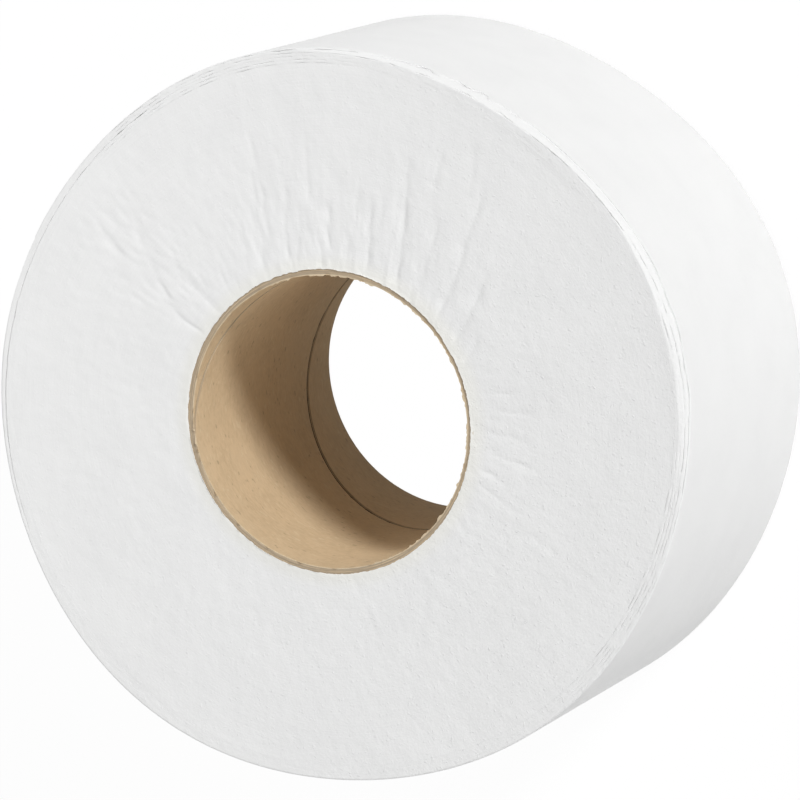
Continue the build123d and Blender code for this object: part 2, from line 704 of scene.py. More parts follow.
@dataclass(frozen=True)
class Fold:
    """A fold of the sawn end along a path of (angle, radius) points, with its widths to both sides.

    It starts blunt, and fades out over the last part of its length.
    """

    path: tuple[Pair, ...]
    depth: float
    left: float = 1.8
    right: float = 0.85
    kind: FoldKind = FoldKind.VALLEY
    rise: ClassVar[float] = 0.12
    blunt: ClassVar[float] = 0.25
    fade: ClassVar[float] = 0.4
    sharpness: ClassVar[float] = 1.25

    def height(self, x: np.ndarray, y: np.ndarray) -> np.ndarray:
        """Height that the fold adds.

        Args:
            x: First coordinate of the points.
            y: Second coordinate of the points.

        Returns:
            Heights.
        """
        turns = [(math.radians(angle), radius) for angle, radius in self.path]
        points = [(radius * math.cos(turn), radius * math.sin(turn)) for turn, radius in turns]
        nearest = np.full(x.shape, np.inf)
        side = np.zeros(x.shape)
        along = np.zeros(x.shape)
        length = 0.0
        for (ax, ay), (bx, by) in zip(points, points[1:]):
            dx, dy = bx - ax, by - ay
            run = math.hypot(dx, dy)
            share = np.clip(((x - ax) * dx + (y - ay) * dy) / run**2, 0.0, 1.0)
            ox, oy = x - ax - share * dx, y - ay - share * dy
            distance = np.hypot(ox, oy)
            closer = distance < nearest
            nearest = np.where(closer, distance, nearest)
            side = np.where(closer, dx * oy - dy * ox, side)
            along = np.where(closer, length + share * run, along)
            length += run
        share = along / length
        taper = smooth_step(share / self.rise + self.blunt) * smooth_step((1.0 - share) / self.fade)
        width = np.where(side > 0.0, self.left, self.right)
        profile = np.exp(-((nearest / width) ** self.sharpness))
        return self.kind.value * self.depth * taper * profile


LONG_FOLDS = (
    Fold(((-51.0, 40.0), (-49.8, 43.6), (-47.2, 52.8), (-43.7, 63.7), (-41.9, 76.0)), 0.5),
    Fold(((-59.0, 43.0), (-57.3, 48.6), (-53.8, 59.5), (-50.5, 67.0)), 0.42),
    Fold(((-50.0, 68.0), (-48.5, 74.6), (-47.5, 81.0)), 0.3),
    Fold(((-69.5, 42.0), (-67.8, 47.8), (-63.4, 57.8), (-59.9, 69.6), (-56.8, 82.0)), 0.46),
    Fold(((-80.5, 41.0), (-79.1, 44.4), (-75.2, 52.0), (-70.4, 62.0)), 0.46),
    Fold(((-89.5, 41.0), (-86.5, 44.0), (-83.0, 49.0)), 0.25),
)
FINE_FOLDS = (
    Fold(((17.5, 41.0), (16.3, 43.6), (11.9, 53.0)), 0.16, 1.0, 0.6),
    Fold(((1.0, 42.0), (-2.6, 48.0), (-4.6, 62.0), (-7.5, 74.0)), 0.21, 1.1, 0.6),
    Fold(((-4.5, 50.0), (-6.5, 62.0), (-8.0, 86.0)), 0.16, 1.0, 0.6),
    Fold(((-9.0, 42.0), (-12.0, 52.0), (-13.5, 66.0)), 0.19, 1.0, 0.6),
    Fold(((-12.0, 41.0), (-14.5, 47.0), (-15.5, 57.0)), 0.18, 0.9, 0.6),
    Fold(((-19.0, 57.0), (-19.6, 66.0), (-20.0, 80.0)), 0.19, 1.1, 0.7),
    Fold(((-20.5, 40.0), (-20.8, 43.0), (-21.0, 47.0)), 0.27, 1.3, 0.8),
    Fold(((-25.0, 44.0), (-24.5, 50.0), (-23.5, 58.0)), 0.32, 1.4, 0.8),
    Fold(((-30.5, 43.0), (-30.0, 47.0), (-29.0, 51.0)), 0.27, 1.3, 0.8),
    Fold(((-38.5, 40.0), (-37.8, 46.0), (-36.5, 54.0), (-34.0, 62.0)), 0.29, 1.4, 0.8),
    Fold(((-33.5, 50.0), (-32.5, 57.0), (-31.5, 64.0)), 0.16, 1.0, 0.6),
    Fold(((-57.0, 70.0), (-54.5, 78.0), (-52.5, 86.0)), 0.16, 1.2, 0.8),
)
TENT_FOLDS = (
    Fold(((35.5, 40.0), (35.0, 46.0), (33.2, 53.0), (29.0, 61.0), (24.5, 68.0)), 0.24, 1.1, 0.6),
    Fold(((25.0, 40.0), (25.0, 50.0), (25.6, 60.0)), 0.22, 0.7, 2.4),
    Fold(((25.0, 68.0), (26.6, 76.0), (27.0, 84.0)), 0.18, 0.8, 2.2),
    Fold(((31.2, 70.0), (29.8, 77.0), (28.6, 85.0)), 0.15, 1.0, 0.6),
    Fold(((31.0, 42.0), (29.5, 52.0), (27.0, 62.0)), 0.1, 2.2, 1.8, FoldKind.RIDGE),
    Fold(((38.5, 60.0), (34.0, 59.0), (31.0, 62.0)), 0.1, 1.2, 0.8),
)
SIDE_FOLDS = (
    Fold(((-101.0, 43.0), (-103.5, 54.0)), 0.15, 0.9, 0.6),
    Fold(((-107.0, 44.0), (-109.5, 58.0)), 0.16, 0.9, 0.6),
    Fold(((-114.0, 43.0), (-117.0, 56.0)), 0.17, 0.9, 0.6),
    Fold(((-121.0, 44.0), (-124.0, 60.0)), 0.17, 0.9, 0.6),
    Fold(((-127.0, 43.0), (-130.0, 53.0)), 0.15, 0.9, 0.6),
    Fold(((-133.0, 44.0), (-136.0, 58.0)), 0.14, 0.9, 0.6),
    Fold(((-139.0, 58.0), (-141.5, 86.0)), 0.12, 1.3, 1.0),
    Fold(((-140.0, 42.0), (-147.0, 48.0)), 0.17, 0.8, 0.6),
    Fold(((-146.0, 42.0), (-152.0, 47.0)), 0.15, 0.8, 0.6),
)
FOLDS = LONG_FOLDS + FINE_FOLDS + TENT_FOLDS + SIDE_FOLDS


@dataclass
class SawnRoll:
    """The wound paper inside the loose turns: both sawn ends and the wall between them.

    Zones are windows by middle, reach and end, and fades give where a zone ends and over what length.
    """

    outline: Outline
    winding: Winding
    width: float
    core_radius: float
    columns: int = 900
    upper_rings: tuple[tuple[float, float, int], ...] = (
        (0.0, 0.03, 4),
        (0.045, 0.68, 42),
        (0.695, 1.0, 15),
    )
    lower_rings: tuple[tuple[float, float, int], ...] = ((1.0, 0.7, 8), (0.67, 0.0, 22))
    crisp: float = 65.0
    sink: float = 0.35
    play: float = 0.01
    calm_rim: float = 1.5
    puff: float = 0.12
    puff_reach: float = 2.5
    overlap: float = 0.32
    fringe_seed: int = 41
    fringe_layers: Layers = ((0.6, 2.4, 2.4), (0.5, 1.0, 1.0), (0.5, 0.5, 0.5))
    fringe_level: float = 0.45
    fringe_fuzz: float = 0.7
    fringe_range: Pair = (0.1, 1.2)
    fringe_below: float = 0.22
    fringe_rise: float = 0.06
    lean: float = 0.45
    lean_zone: Triple = (-100.0, 55.0, 1.4)
    flare: float = 1.0
    bends: Layers = ((0.7, 5.0, 5.0), (0.25, 1.9, 1.9))
    patches: Layers = ((0.6, 4.0, 4.0),)
    waves: Layers = ((0.14, 17.0, 17.0), (0.05, 3.4, 3.4), (0.05, 1.5, 1.5))
    crinkle: float = 0.1
    fine_share: float = 0.7
    fan_centre: Pair = (-48.2, 19.5)
    fan_size: float = 90.0
    fan_layers: Layers = ((1.0, 6.5, 1.8), (0.7, 3.0, 0.8))
    fan_zone: Triple = (-34.0, 48.0, 1.5)
    fan_fade: Pair = (76.0, 26.0)
    tent_layers: Layers = ((1.0, 4.0, 1.6), (1.0, 2.0, 1.1))
    tent_zone: Triple = (27.0, 9.0, 1.6)
    tent_ring: Triple = (68.0, 18.0, 1.6)
    side_layers: Layers = ((1.0, 4.5, 1.9),)
    side_zone: Triple = (-122.0, 30.0, 1.5)
    side_fade: Pair = (66.0, 18.0)
    first_seed: int = 10
    lower_turn: float = 140.0
    lower_share: float = 0.7

    def relief(self, x: np.ndarray, y: np.ndarray, end: RollEnd) -> np.ndarray:
        """Height of an end's puckers, folds and fuzz.

        Args:
            x: First coordinate of the points.
            y: Second coordinate of the points.
            end: Which end.

        Returns:
            Heights, at most the sink that the end starts from.
        """
        share = 1.0
        seed = self.first_seed + end.value
        u, v = x, y
        if end is RollEnd.LOWER:
            turn = math.radians(self.lower_turn)
            u = x * math.cos(turn) - y * math.sin(turn)
            v = x * math.sin(turn) + y * math.cos(turn)
            share = self.lower_share
        bent_u = layered(u, v, self.bends, seed, u)
        bent_v = layered(u, v, self.bends, seed + 2, v)
        patchy = layered(u, v, self.patches, seed + 4, 1.0)
        height = sum(fold.height(bent_u, bent_v) for fold in FOLDS)
        height = (height * patchy + self._crinkles(u, v, seed + 8)) * share
        return np.minimum(layered(u, v, self.waves, seed + 5, height), self.sink)

    def _crinkles(self, u: np.ndarray, v: np.ndarray, seed: int) -> np.ndarray:
        """Fine wrinkles between the long folds, round the tent and between the side folds.

        Args:
            u: First coordinate of the points.
            v: Second coordinate of the points.
            seed: Seed of the wrinkles.

        Returns:
            Heights.
        """
        radius, angle = np.hypot(u, v), np.degrees(np.arctan2(v, u))
        x, y = u - self.fan_centre[0], v - self.fan_centre[1]
        run, sweep = np.hypot(x, y), np.arctan2(y, x) * self.fan_size
        fan = layered(run, sweep, self.fan_layers, seed)
        fan *= window(angle, *self.fan_zone) * self._fade(radius, *self.fan_fade)
        tent = layered(radius, angle, self.tent_layers, seed + 2)
        tent *= window(angle, *self.tent_zone) * window(radius, *self.tent_ring)
        side = layered(radius, angle, self.side_layers, seed + 4)
        side *= window(angle, *self.side_zone) * self._fade(radius, *self.side_fade)
        return self.crinkle * fan + self.fine_share * self.crinkle * (tent + side)

    @staticmethod
    def _fade(radius: np.ndarray, end: float, length: float) -> np.ndarray:
        """Smooth fall to 0 at a radius, over a length."""
        return smooth_step((end - radius) / length)

    def _fringe(self, angle: np.ndarray) -> np.ndarray:
        """Fuzzy edge of the first turn, which leans over the tube on one side.

        Args:
            angle: Angles about the axis.

        Returns:
            The edge's ring of points.
        """
        turn = np.radians(angle)
        u, v = self.core_radius * np.cos(turn), self.core_radius * np.sin(turn)
        fuzz = layered(u, v, self.fringe_layers, self.fringe_seed)
        reach = np.clip(self.fringe_level + self.fringe_fuzz * fuzz, *self.fringe_range)
        lean = window(angle, *self.lean_zone) * self.lean
        radius = self.core_radius - self.overlap * reach - lean
        return polar(radius, turn, self.width - self.fringe_below - self.fringe_rise * fuzz)

    def build(self) -> bpy.types.Object:
        """Mesh of the roll, one closed skin.

        Returns:
            The piece.
        """
        angle = np.linspace(-180.0, 180.0, self.columns, endpoint=False)
        turn = np.radians(angle)
        rim = self.outline.at(angle) - self.winding.inset - self.play
        shares = {
            RollEnd.UPPER: np.concatenate([np.linspace(*row) for row in self.upper_rings]),
            RollEnd.LOWER: np.concatenate([np.linspace(*row) for row in self.lower_rings]),
        }

        def end_ring(share: float, end: RollEnd) -> np.ndarray:
            """Ring of an end, a share of the way from the tube to the rim."""
            radius = self.core_radius + (rim - self.core_radius) * share
            relief = self.relief(radius * np.cos(turn), radius * np.sin(turn), end)
            relief = relief * smooth_step((rim - radius) / self.calm_rim)
            if end is RollEnd.UPPER:
                inner = 1.0 - smooth_step((radius - self.core_radius) / self.puff_reach)
                relief = relief + self.puff * inner
            relief = np.minimum(relief, self.sink)
            if end is RollEnd.UPPER:
                return polar(radius, turn, self.width - self.sink + relief)
            return polar(radius, turn, self.sink - relief)

        rings = [self._fringe(angle)]
        rings += [end_ring(share, RollEnd.UPPER) for share in shares[RollEnd.UPPER]]
        rings.append(polar(rim, turn, self.width / 2))
        rings += [end_ring(share, RollEnd.LOWER) for share in shares[RollEnd.LOWER]]
        rings.append(polar(self.core_radius, turn, self.width - self.flare))
        mesh = ring_mesh("sawn_roll", np.stack(rings), closed=True, crisp=self.crisp)
        return add_object("sawn_roll", mesh)

    def dress(self, piece: bpy.types.Object, tissue: bpy.types.Material) -> None:
        """Gives the roll its material."""
        piece.data.materials.append(tissue)


@dataclass
class LooseTurns:
    """The last turns of the sheet, loose round the roll in one spiral.

    Shallow grooves part the turns on the sawn ends. On one side their edges roll over into a lip.
    A side is a middle angle and its reach, and a span counts turns from the free end. Cells of the
    noise along the sheet are per turn, and those of the fuzz per millimetre.
    """

    outline: Outline
    winding: Winding
    width: float
    sink: float
    stations: int = 3600
    cuts: int = 5
    crowding: float = 3.0
    crisp_radians: float = 0.75
    seed: float = 3.7
    gap: float = 0.002
    thinnest: float = 0.05
    tail_share: float = 0.5
    tail_taper: float = 0.16
    wobble: float = 0.3
    wobble_cells: float = 170.0
    wobble_band: Pair = (0.98, 1.02)
    wobble_end: float = 0.1
    fuzz: float = 0.16
    fuzz_cells: Pair = (0.67, 0.3)
    soft_edge: float = 0.65
    lip: float = 0.84
    lip_side: Pair = (-72.0, 58.0)
    lip_below: float = 0.25
    lip_drop: float = 2.8
    lip_blend: float = 0.25
    lip_cells: float = 46.0
    lip_swell: float = 0.5
    wide: float = 1.65
    wide_side: Pair = (-107.0, 33.0)
    wide_swell: float = 0.6
    tear: float = 0.55
    tear_side: Pair = (-42.0, 26.0)
    step_cells: float = 37.0
    step_band: Pair = (0.38, 0.62)
    step_gain: float = 0.6
    step_least: float = 0.15
    notch: float = 1.1
    scallop: float = 1.5
    scallop_cells: float = 150.0
    scallop_band: Pair = (0.35, 0.65)
    last_turn: Pair = (1.0, 0.9)
    ragged: float = 0.22
    ragged_cells: float = 24.0
    frayed: float = 0.2
    frayed_cells: float = 260.0
    lip_rough: float = 0.6
    least_rough: float = 0.05
    set_back: float = 0.3
    set_back_side: Pair = (50.0, 42.0)
    set_back_turns: Pair = (2.6, 2.4)
    groove: float = 0.26
    groove_share: float = 0.85
    groove_edge: Pair = (0.6, 1.0)
    lines_side: Pair = (-130.0, 38.0)
    slits_side: Pair = (-4.0, 34.0)
    spot_cells: float = 105.0
    patch_band: Pair = (0.46, 0.62)
    dense_band: Pair = (0.42, 0.58)
    lip_groove: Span = (1.9, 2.1, 2.6, 2.9)
    lip_groove_share: float = 1.5
    seam: Span = (2.84, 2.92, 3.06, 3.13)
    seam_share: float = 0.6
    rift: Span = (1.32, 1.37, 1.43, 1.47)
    rift_share: float = 0.5
    rift_edge: Pair = (0.2, 1.0)
    rift_depth: float = 1.4
    fine_rift: Span = (1.1, 1.16, 1.3, 1.36)
    fine_rift_share: float = 0.8

    def build(self, tissue: bpy.types.Material) -> bpy.types.Object:
        """Sweeps the sheet's section along the spiral.

        Args:
            tissue: Material of the sheet.

        Returns:
            The piece.
        """
        sizes = {
            "Turns": float(self.winding.turns),
            "Spacing": self.winding.spacing,
            "Last": self.winding.last,
            "Gap": self.gap,
            "Groove": self.groove,
            "Width": self.width,
            "Ragged": self.ragged,
            "Frayed": self.frayed,
            "Wobble": self.wobble,
            "Fuzz": self.fuzz,
            "Seed": self.seed,
        }
        piece = NodesPiece("loose_turns", sizes)
        graph = piece.graph
        spacing, last, half = piece.size("Spacing"), piece.size("Last"), piece.size("Width") * 0.5
        section = self._sweep(piece)
        wind, across, along = (self._read(graph, name) for name in ("wind", "across", "along"))
        angle = math.radians(self.winding.tail_angle) - wind * math.tau
        whole = wind.does("FLOOR")
        count = whole + (wind - whole).ramp(1.0 - self.winding.fade / 360.0, 1.0)
        inner = (count * spacing + last).does("MINIMUM", self.winding.inset)
        outer = ((count - 1.0) * spacing + last).does("MAXIMUM", 0.0)
        thick = (inner - outer - piece.size("Gap")).does("MAXIMUM", self.thinnest)
        taper = wind.ramp(0.0, self.tail_taper) * (1.0 - self.tail_share) + self.tail_share
        rim = self.outline.as_nodes(angle)
        line = wind + across.does("LESS_THAN", 0.0)
        stray = (graph.noise_along(line, self.wobble_cells) - NOISE_MIDDLE) * piece.size("Wobble")
        stray = stray * line.ramp(*self.wobble_band)
        stray = stray * line.ramp(self.winding.turns, self.winding.turns - self.wobble_end)
        radius = rim - inner + (across + 0.5) * thick * taper + stray
        depth = (rim - radius).does("MAXIMUM", 0.0)
        x, y = radius * angle.cos(), radius * angle.sin()
        spot = graph.vector(x, y, 0.0)
        coarse, fine = (graph.noise(spot, cells, 1.0) for cells in self.fuzz_cells)
        drop = self._edge_drop(piece, angle, wind, across, along, depth)
        drop = drop + (coarse + fine - 2.0 * NOISE_MIDDLE) * piece.size("Fuzz")
        reach = (along * 2.0).does("ABSOLUTE")
        level = (half - drop) * (1.0 - (1.0 - reach) ** self.crowding) * along.does("SIGN") + half
        placed = graph.moved(section, graph.vector(x * MM, y * MM, level * MM))
        smooth = graph.node("GeometryNodeSetShadeSmooth", None, {"Geometry": placed}).out()
        bend = graph.node("GeometryNodeInputMeshEdgeAngle").out("Unsigned Angle")
        sockets = {"Geometry": smooth, "Shade Smooth": False}
        sockets["Selection"] = bend.does("GREATER_THAN", self.crisp_radians)
        crisp = graph.node("GeometryNodeSetShadeSmooth", {"domain": "EDGE"}, sockets)
        return piece.finish(crisp.out(), tissue)

    def _edge_drop(
        self, piece: NodesPiece, angle: Value, wind: Value, across: Value, along: Value, depth: Value
    ) -> Value:
        """How far below the ends the sheet's sawn edges lie.

        Args:
            piece: The piece, with the sizes.
            angle: Angle about the axis in radians.
            wind: Turns from the free end.
            across: Place across the sheet, from -0.5 inside to 0.5 outside.
            along: Place along the roll, from -0.5 at the lower end to 0.5 at the upper.
            depth: Distance in from the rim.

        Returns:
            The drop in millimetres.
        """
        graph = piece.graph
        start = wind + piece.size("Seed")
        rolled = self._near(angle, *self.lip_side)
        upper = along.does("GREATER_THAN", 0.0)
        rolled = rolled * (upper * (1.0 - self.lip_below) + self.lip_below)
        lack = (1.0 - depth / self.soft_edge).does("MAXIMUM", 0.0)
        soft = (1.0 - (1.0 - lack * lack).does("MAXIMUM", 0.0) ** 0.5) * self.soft_edge
        swell = graph.noise_along(start, self.lip_cells) - NOISE_MIDDLE
        wide = self._near(angle, *self.wide_side)
        tear = self._near(angle, *self.tear_side) * rolled
        reach = swell * (wide * self.wide_swell + self.lip_swell) + wide * self.wide
        reach = reach + tear * self.tear + self.lip
        step = graph.noise_along(start, self.step_cells).ramp(*self.step_band)
        ledge = piece.size("Last") * (step * self.step_gain + self.step_least)
        inside = depth.does("MAXIMUM", ledge)
        slope = (1.0 - inside / reach).does("SMOOTH_MAX", 0.0, self.lip_blend) * self.lip_drop
        drop = soft + (slope - soft) * rolled + self.sink
        side = self._near(angle, *self.lines_side)
        top = self._near(angle, *self.slits_side)
        loose = (side + top + rolled * self.lip_rough).does("MINIMUM", 1.0)
        rough = (graph.noise_along(start, self.ragged_cells) - NOISE_MIDDLE) * piece.size("Ragged")
        fray = (graph.noise_along(wind, self.frayed_cells) - NOISE_MIDDLE) * piece.size("Frayed")
        drop = drop + (rough + fray) * (loose * (1.0 - self.least_rough) + self.least_rough)
        scallop = graph.noise_along(start, self.scallop_cells).ramp(*self.scallop_band)
        torn = step * rolled * self.notch + scallop * tear * self.scallop
        drop = drop + torn * wind.ramp(*self.last_turn)
        back = self._near(angle, *self.set_back_side)
        drop = drop + back * wind.ramp(*self.set_back_turns) * self.set_back
        line = wind + across.does("LESS_THAN", 0.0)
        spots = graph.noise_along(line + piece.size("Seed"), self.spot_cells)
        patch, dense = spots.ramp(*self.patch_band), spots.ramp(*self.dense_band)
        amount = (side * dense + top * patch) * (1.0 - rolled) * self.groove_share
        amount = amount + rolled * line.between(self.lip_groove) * dense * self.lip_groove_share
        seam = line.between(self.seam) * (patch * self.seam_share + self.seam_share)
        rift = line.between(self.rift) * (patch * self.rift_share + self.rift_share)
        rift = rift + line.between(self.fine_rift) * dense * self.fine_rift_share
        edge = (across * 2.0).does("ABSOLUTE")
        cut = (amount + seam) * edge.ramp(*self.groove_edge)
        cut = cut + rift * edge.ramp(*self.rift_edge) * self.rift_depth
        return drop + cut * piece.size("Groove")

    def _sweep(self, piece: NodesPiece) -> Value:
        """Tube of the sheet's section with its place along, across and up stored on it."""
        graph = piece.graph
        line = graph.node("GeometryNodeCurvePrimitiveLine").out()
        sockets = {"Curve": line, "Count": self.stations}
        line = graph.node("GeometryNodeResampleCurve", None, sockets).out()
        factor = graph.node("GeometryNodeSplineParameter").out("Factor")
        line = self._store(graph, line, "wind", factor * piece.size("Turns"))
        sockets = {"Width": 1.0, "Height": 1.0}
        box = graph.node("GeometryNodeCurvePrimitiveQuadrilateral", None, sockets).out()
        sockets = {"Curve": box, "Cuts": self.cuts}
        box = graph.node("GeometryNodeSubdivideCurve", None, sockets).out()
        x, y, _ = graph.parts(graph.node("GeometryNodeInputPosition").out())
        box = self._store(graph, self._store(graph, box, "across", x), "along", y)
        return graph.swept(line, box)

    @staticmethod
    def _store(graph: Graph, geometry: Value, name: str, value: Value) -> Value:
        """Stores a number on the points of a geometry."""
        sockets = {"Geometry": geometry, "Name": name, "Value": value}
        return graph.node("GeometryNodeStoreNamedAttribute", None, sockets).out()

    @staticmethod
    def _read(graph: Graph, name: str) -> Value:
        """Reads a stored number."""
        return graph.node("GeometryNodeInputNamedAttribute", None, {"Name": name}).out()

    @staticmethod
    def _near(angle: Value, middle: float, reach: float) -> Value:
        """1 at the middle angle, falling to 0 at the reach either side."""
        return (angle - math.radians(middle)).cos().ramp(math.cos(math.radians(reach)), 1.0)


@dataclass
class Lint:
    """Loose fibres that the saw raised on both ends. Their bend is for a length of 1."""

    density: float = 15000.0
    longest: float = 1.0
    shortest: float = 0.25
    thickness: float = 0.022
    bend: tuple[Triple, ...] = ((-0.5, 0.0, -0.05), (0.05, 0.3, 0.08), (0.5, -0.05, -0.05))
    tilt: float = 0.12
    flat: float = 0.8
    seed: int = 5

    def build(self, ground: bpy.types.Mesh, tissue: bpy.types.Material) -> bpy.types.Object:
        """Scatters bent fibres over the ends.

        Args:
            ground: Mesh that they lie on.
            tissue: Material of the fibres.

        Returns:
            The piece.
        """
        sizes = {
            "Density": self.density,
            "Longest": self.longest * MM,
            "Shortest": self.shortest * MM,
            "Thickness": self.thickness,
        }
        piece = NodesPiece("lint", sizes)
        graph = piece.graph
        facing = graph.parts(graph.node("GeometryNodeInputNormal").out())[2]
        sockets = {
            "Mesh": piece.size("Geometry"),
            "Selection": facing.does("ABSOLUTE").does("GREATER_THAN", self.flat),
            "Density": piece.size("Density"),
            "Seed": self.seed,
        }
        scattered = graph.node("GeometryNodeDistributePointsOnFaces", None, sockets)
        fibre = graph.fibre(self.bend, piece.size("Thickness"))
        most = (self.tilt, self.tilt, math.tau)
        spin = graph.chance((-self.tilt, -self.tilt, 0.0), most, self.seed + 1)
        sockets = {"Rotation": scattered.out("Rotation"), "Rotate By": spin}
        turned = graph.node("FunctionNodeRotateRotation", {"rotation_space": "LOCAL"}, sockets)
        chance = graph.node("FunctionNodeRandomValue", None, {"Seed": self.seed + 2}).out(1)
        size = piece.length(chance)
        placed = graph.instances(scattered.out("Points"), fibre, turned.out(), size)
        return piece.finish(placed, tissue, ground)


@dataclass
class BoardTube:
    """Spiral-wound board tube with an open seam inside and frayed sawn ends.

    The seam's profile gives heights in widths of the seam, and shares of its depth.
    """

    bore: float
    outside: float
    width: float
    pitch: float = 74.0
    laps: tuple[int, ...] = (-2, -1, 0, 1, 2)
    seam_angle: float = 90.0
    seam_height: float = 19.0
    seam_width: float = 0.74
    seam_depth: float = 0.4
    seam_profile: tuple[Pair, ...] = (
        (-1.6, 0.0),
        (-1.0, 0.04),
        (-0.7, 1.0),
        (0.7, 1.0),
        (1.0, 0.04),
        (1.6, 0.0),
    )
    clear_of_seam: float = 2.6
    nick: float = 0.25
    nick_cell: float = 3.0
    nick_from: float = 0.45
    nick_rise: float = 0.4
    row_step: float = 3.0
    columns: int = 720
    wall_steps: int = 4
    merge_within: float = 0.002
    close_within: float = 0.001
    crisp: float = 50.0
    at_end: float = 0.01
    at_edge: float = 0.05
    fray: float = 0.25
    fray_radius: float = 39.0
    fray_cell: float = 1.1
    fray_shift: float = 9.0
    lower_fray: float = 0.3
    recess: float = 0.36
    torn: float = 0.42
    torn_layers: Layers = ((1.0, 0.8, 0.8), (0.5, 2.6, 2.6))
    torn_from: float = 0.25
    torn_rise: float = 0.4
    clean_angle: float = 85.0
    seed: int = 21

    def _rows(self) -> list[Pair]:
        """Rows of one pitch: height above the seam and depth behind the bore."""
        rows = [(up * self.seam_width, depth * self.seam_depth) for up, depth in self.seam_profile]
        count = int(self.pitch / self.row_step)
        first = self.clear_of_seam * self.seam_width
        rows += [(first + (self.pitch - 2 * first) * i / (count - 1), 0.0) for i in range(count)]
        return rows

    def build(self) -> bpy.types.Object:
        """Mesh of the tube, whose rows follow the seam.

        Returns:
            The piece.
        """
        angle = np.linspace(0.0, 360.0, self.columns + 1)
        turn = np.radians(angle)
        base = self.seam_height + self.pitch * (angle - self.seam_angle) / 360.0
        nick = lattice_noise(np.mod(angle, 360.0) / self.nick_cell, 0.0 * angle, self.seed)
        nick = smooth_step((nick - self.nick_from) / self.nick_rise)
        rings: list[tuple[Any, Any]] = []
        for lap in self.laps:
            for offset, depth in self._rows():
                wide = 1.0 + self.nick * nick if depth > 0.0 else 1.0
                z = base + lap * self.pitch + offset * wide
                inside = (z > 0.0) & (z < self.width)
                radius = np.where(inside, self.bore + depth, self.bore)
                rings.append((radius, np.clip(z, 0.0, self.width)))
        wall = (self.outside - self.bore) / self.wall_steps
        for step in range(1, self.wall_steps + 1):
            rings.append((self.bore + wall * step, self.width))
        for step in range(self.wall_steps, -1, -1):
            rings.append((self.bore + wall * step, 0.0))
        points = np.stack([polar(radius, turn, z) for radius, z in rings])
        mesh = ring_mesh("board_tube", points, wrapped=False)
        self._merge(mesh)
        self._fray(mesh)
        mesh.set_sharp_from_angle(angle=math.radians(self.crisp))
        return add_object("board_tube", mesh)

    def _merge(self, mesh: bpy.types.Mesh) -> None:
        """Joins the rows that end on the sawn ends, and the first column to the last."""
        work = bmesh.new()
        work.from_mesh(mesh)
        bmesh.ops.remove_doubles(work, verts=work.verts, dist=self.merge_within * MM)
        bmesh.ops.dissolve_degenerate(work, edges=work.edges, dist=self.close_within * MM)
        work.to_mesh(mesh)
        work.free()

    def _fray(self, mesh: bpy.types.Mesh) -> None:
        """Roughens both sawn ends, and the inner edge where the saw tore it."""
        points = np.empty(len(mesh.vertices) * 3)
        mesh.vertices.foreach_get("co", points)
        x, y, z = points.reshape(-1, 3).T / MM
        radius, angle = np.hypot(x, y), np.arctan2(y, x)
        u, v = self.fray_radius * np.cos(angle), self.fray_radius * np.sin(angle)
        shifted = (u + self.fray_shift * radius) / self.fray_cell
        rough = 0.5 + 0.5 * lattice_noise(shifted, v / self.fray_cell, self.seed + 1)
        at_end = (z < self.at_end) | (z > self.width - self.at_end)
        inner = at_end & (radius < self.bore + self.at_edge)
        upper = z > self.width / 2
        below = self.lower_fray * self.fray * rough
        sunk = np.where(upper, self.recess + self.fray * rough, below)
        sunk = np.where(at_end & (upper | (radius < self.outside - self.at_edge)), sunk, 0.0)
        z = np.where(upper, z - sunk, z + sunk)
        torn = np.maximum(layered(u, v, self.torn_layers, self.seed + 2), 0.0)
        facing = 0.5 - 0.5 * np.cos(angle - math.radians(self.clean_angle))
        torn *= self.torn * smooth_step((facing - self.torn_from) / self.torn_rise)
        radius = np.where(inner & upper, radius - torn, radius)
        mesh.vertices.foreach_set("co", (polar(radius, angle, z) * MM).ravel())
        mesh.update()

    def dress(self, piece: bpy.types.Object, board: bpy.types.Material) -> None:
        """Gives the tube its material."""
        piece.data.materials.append(board)


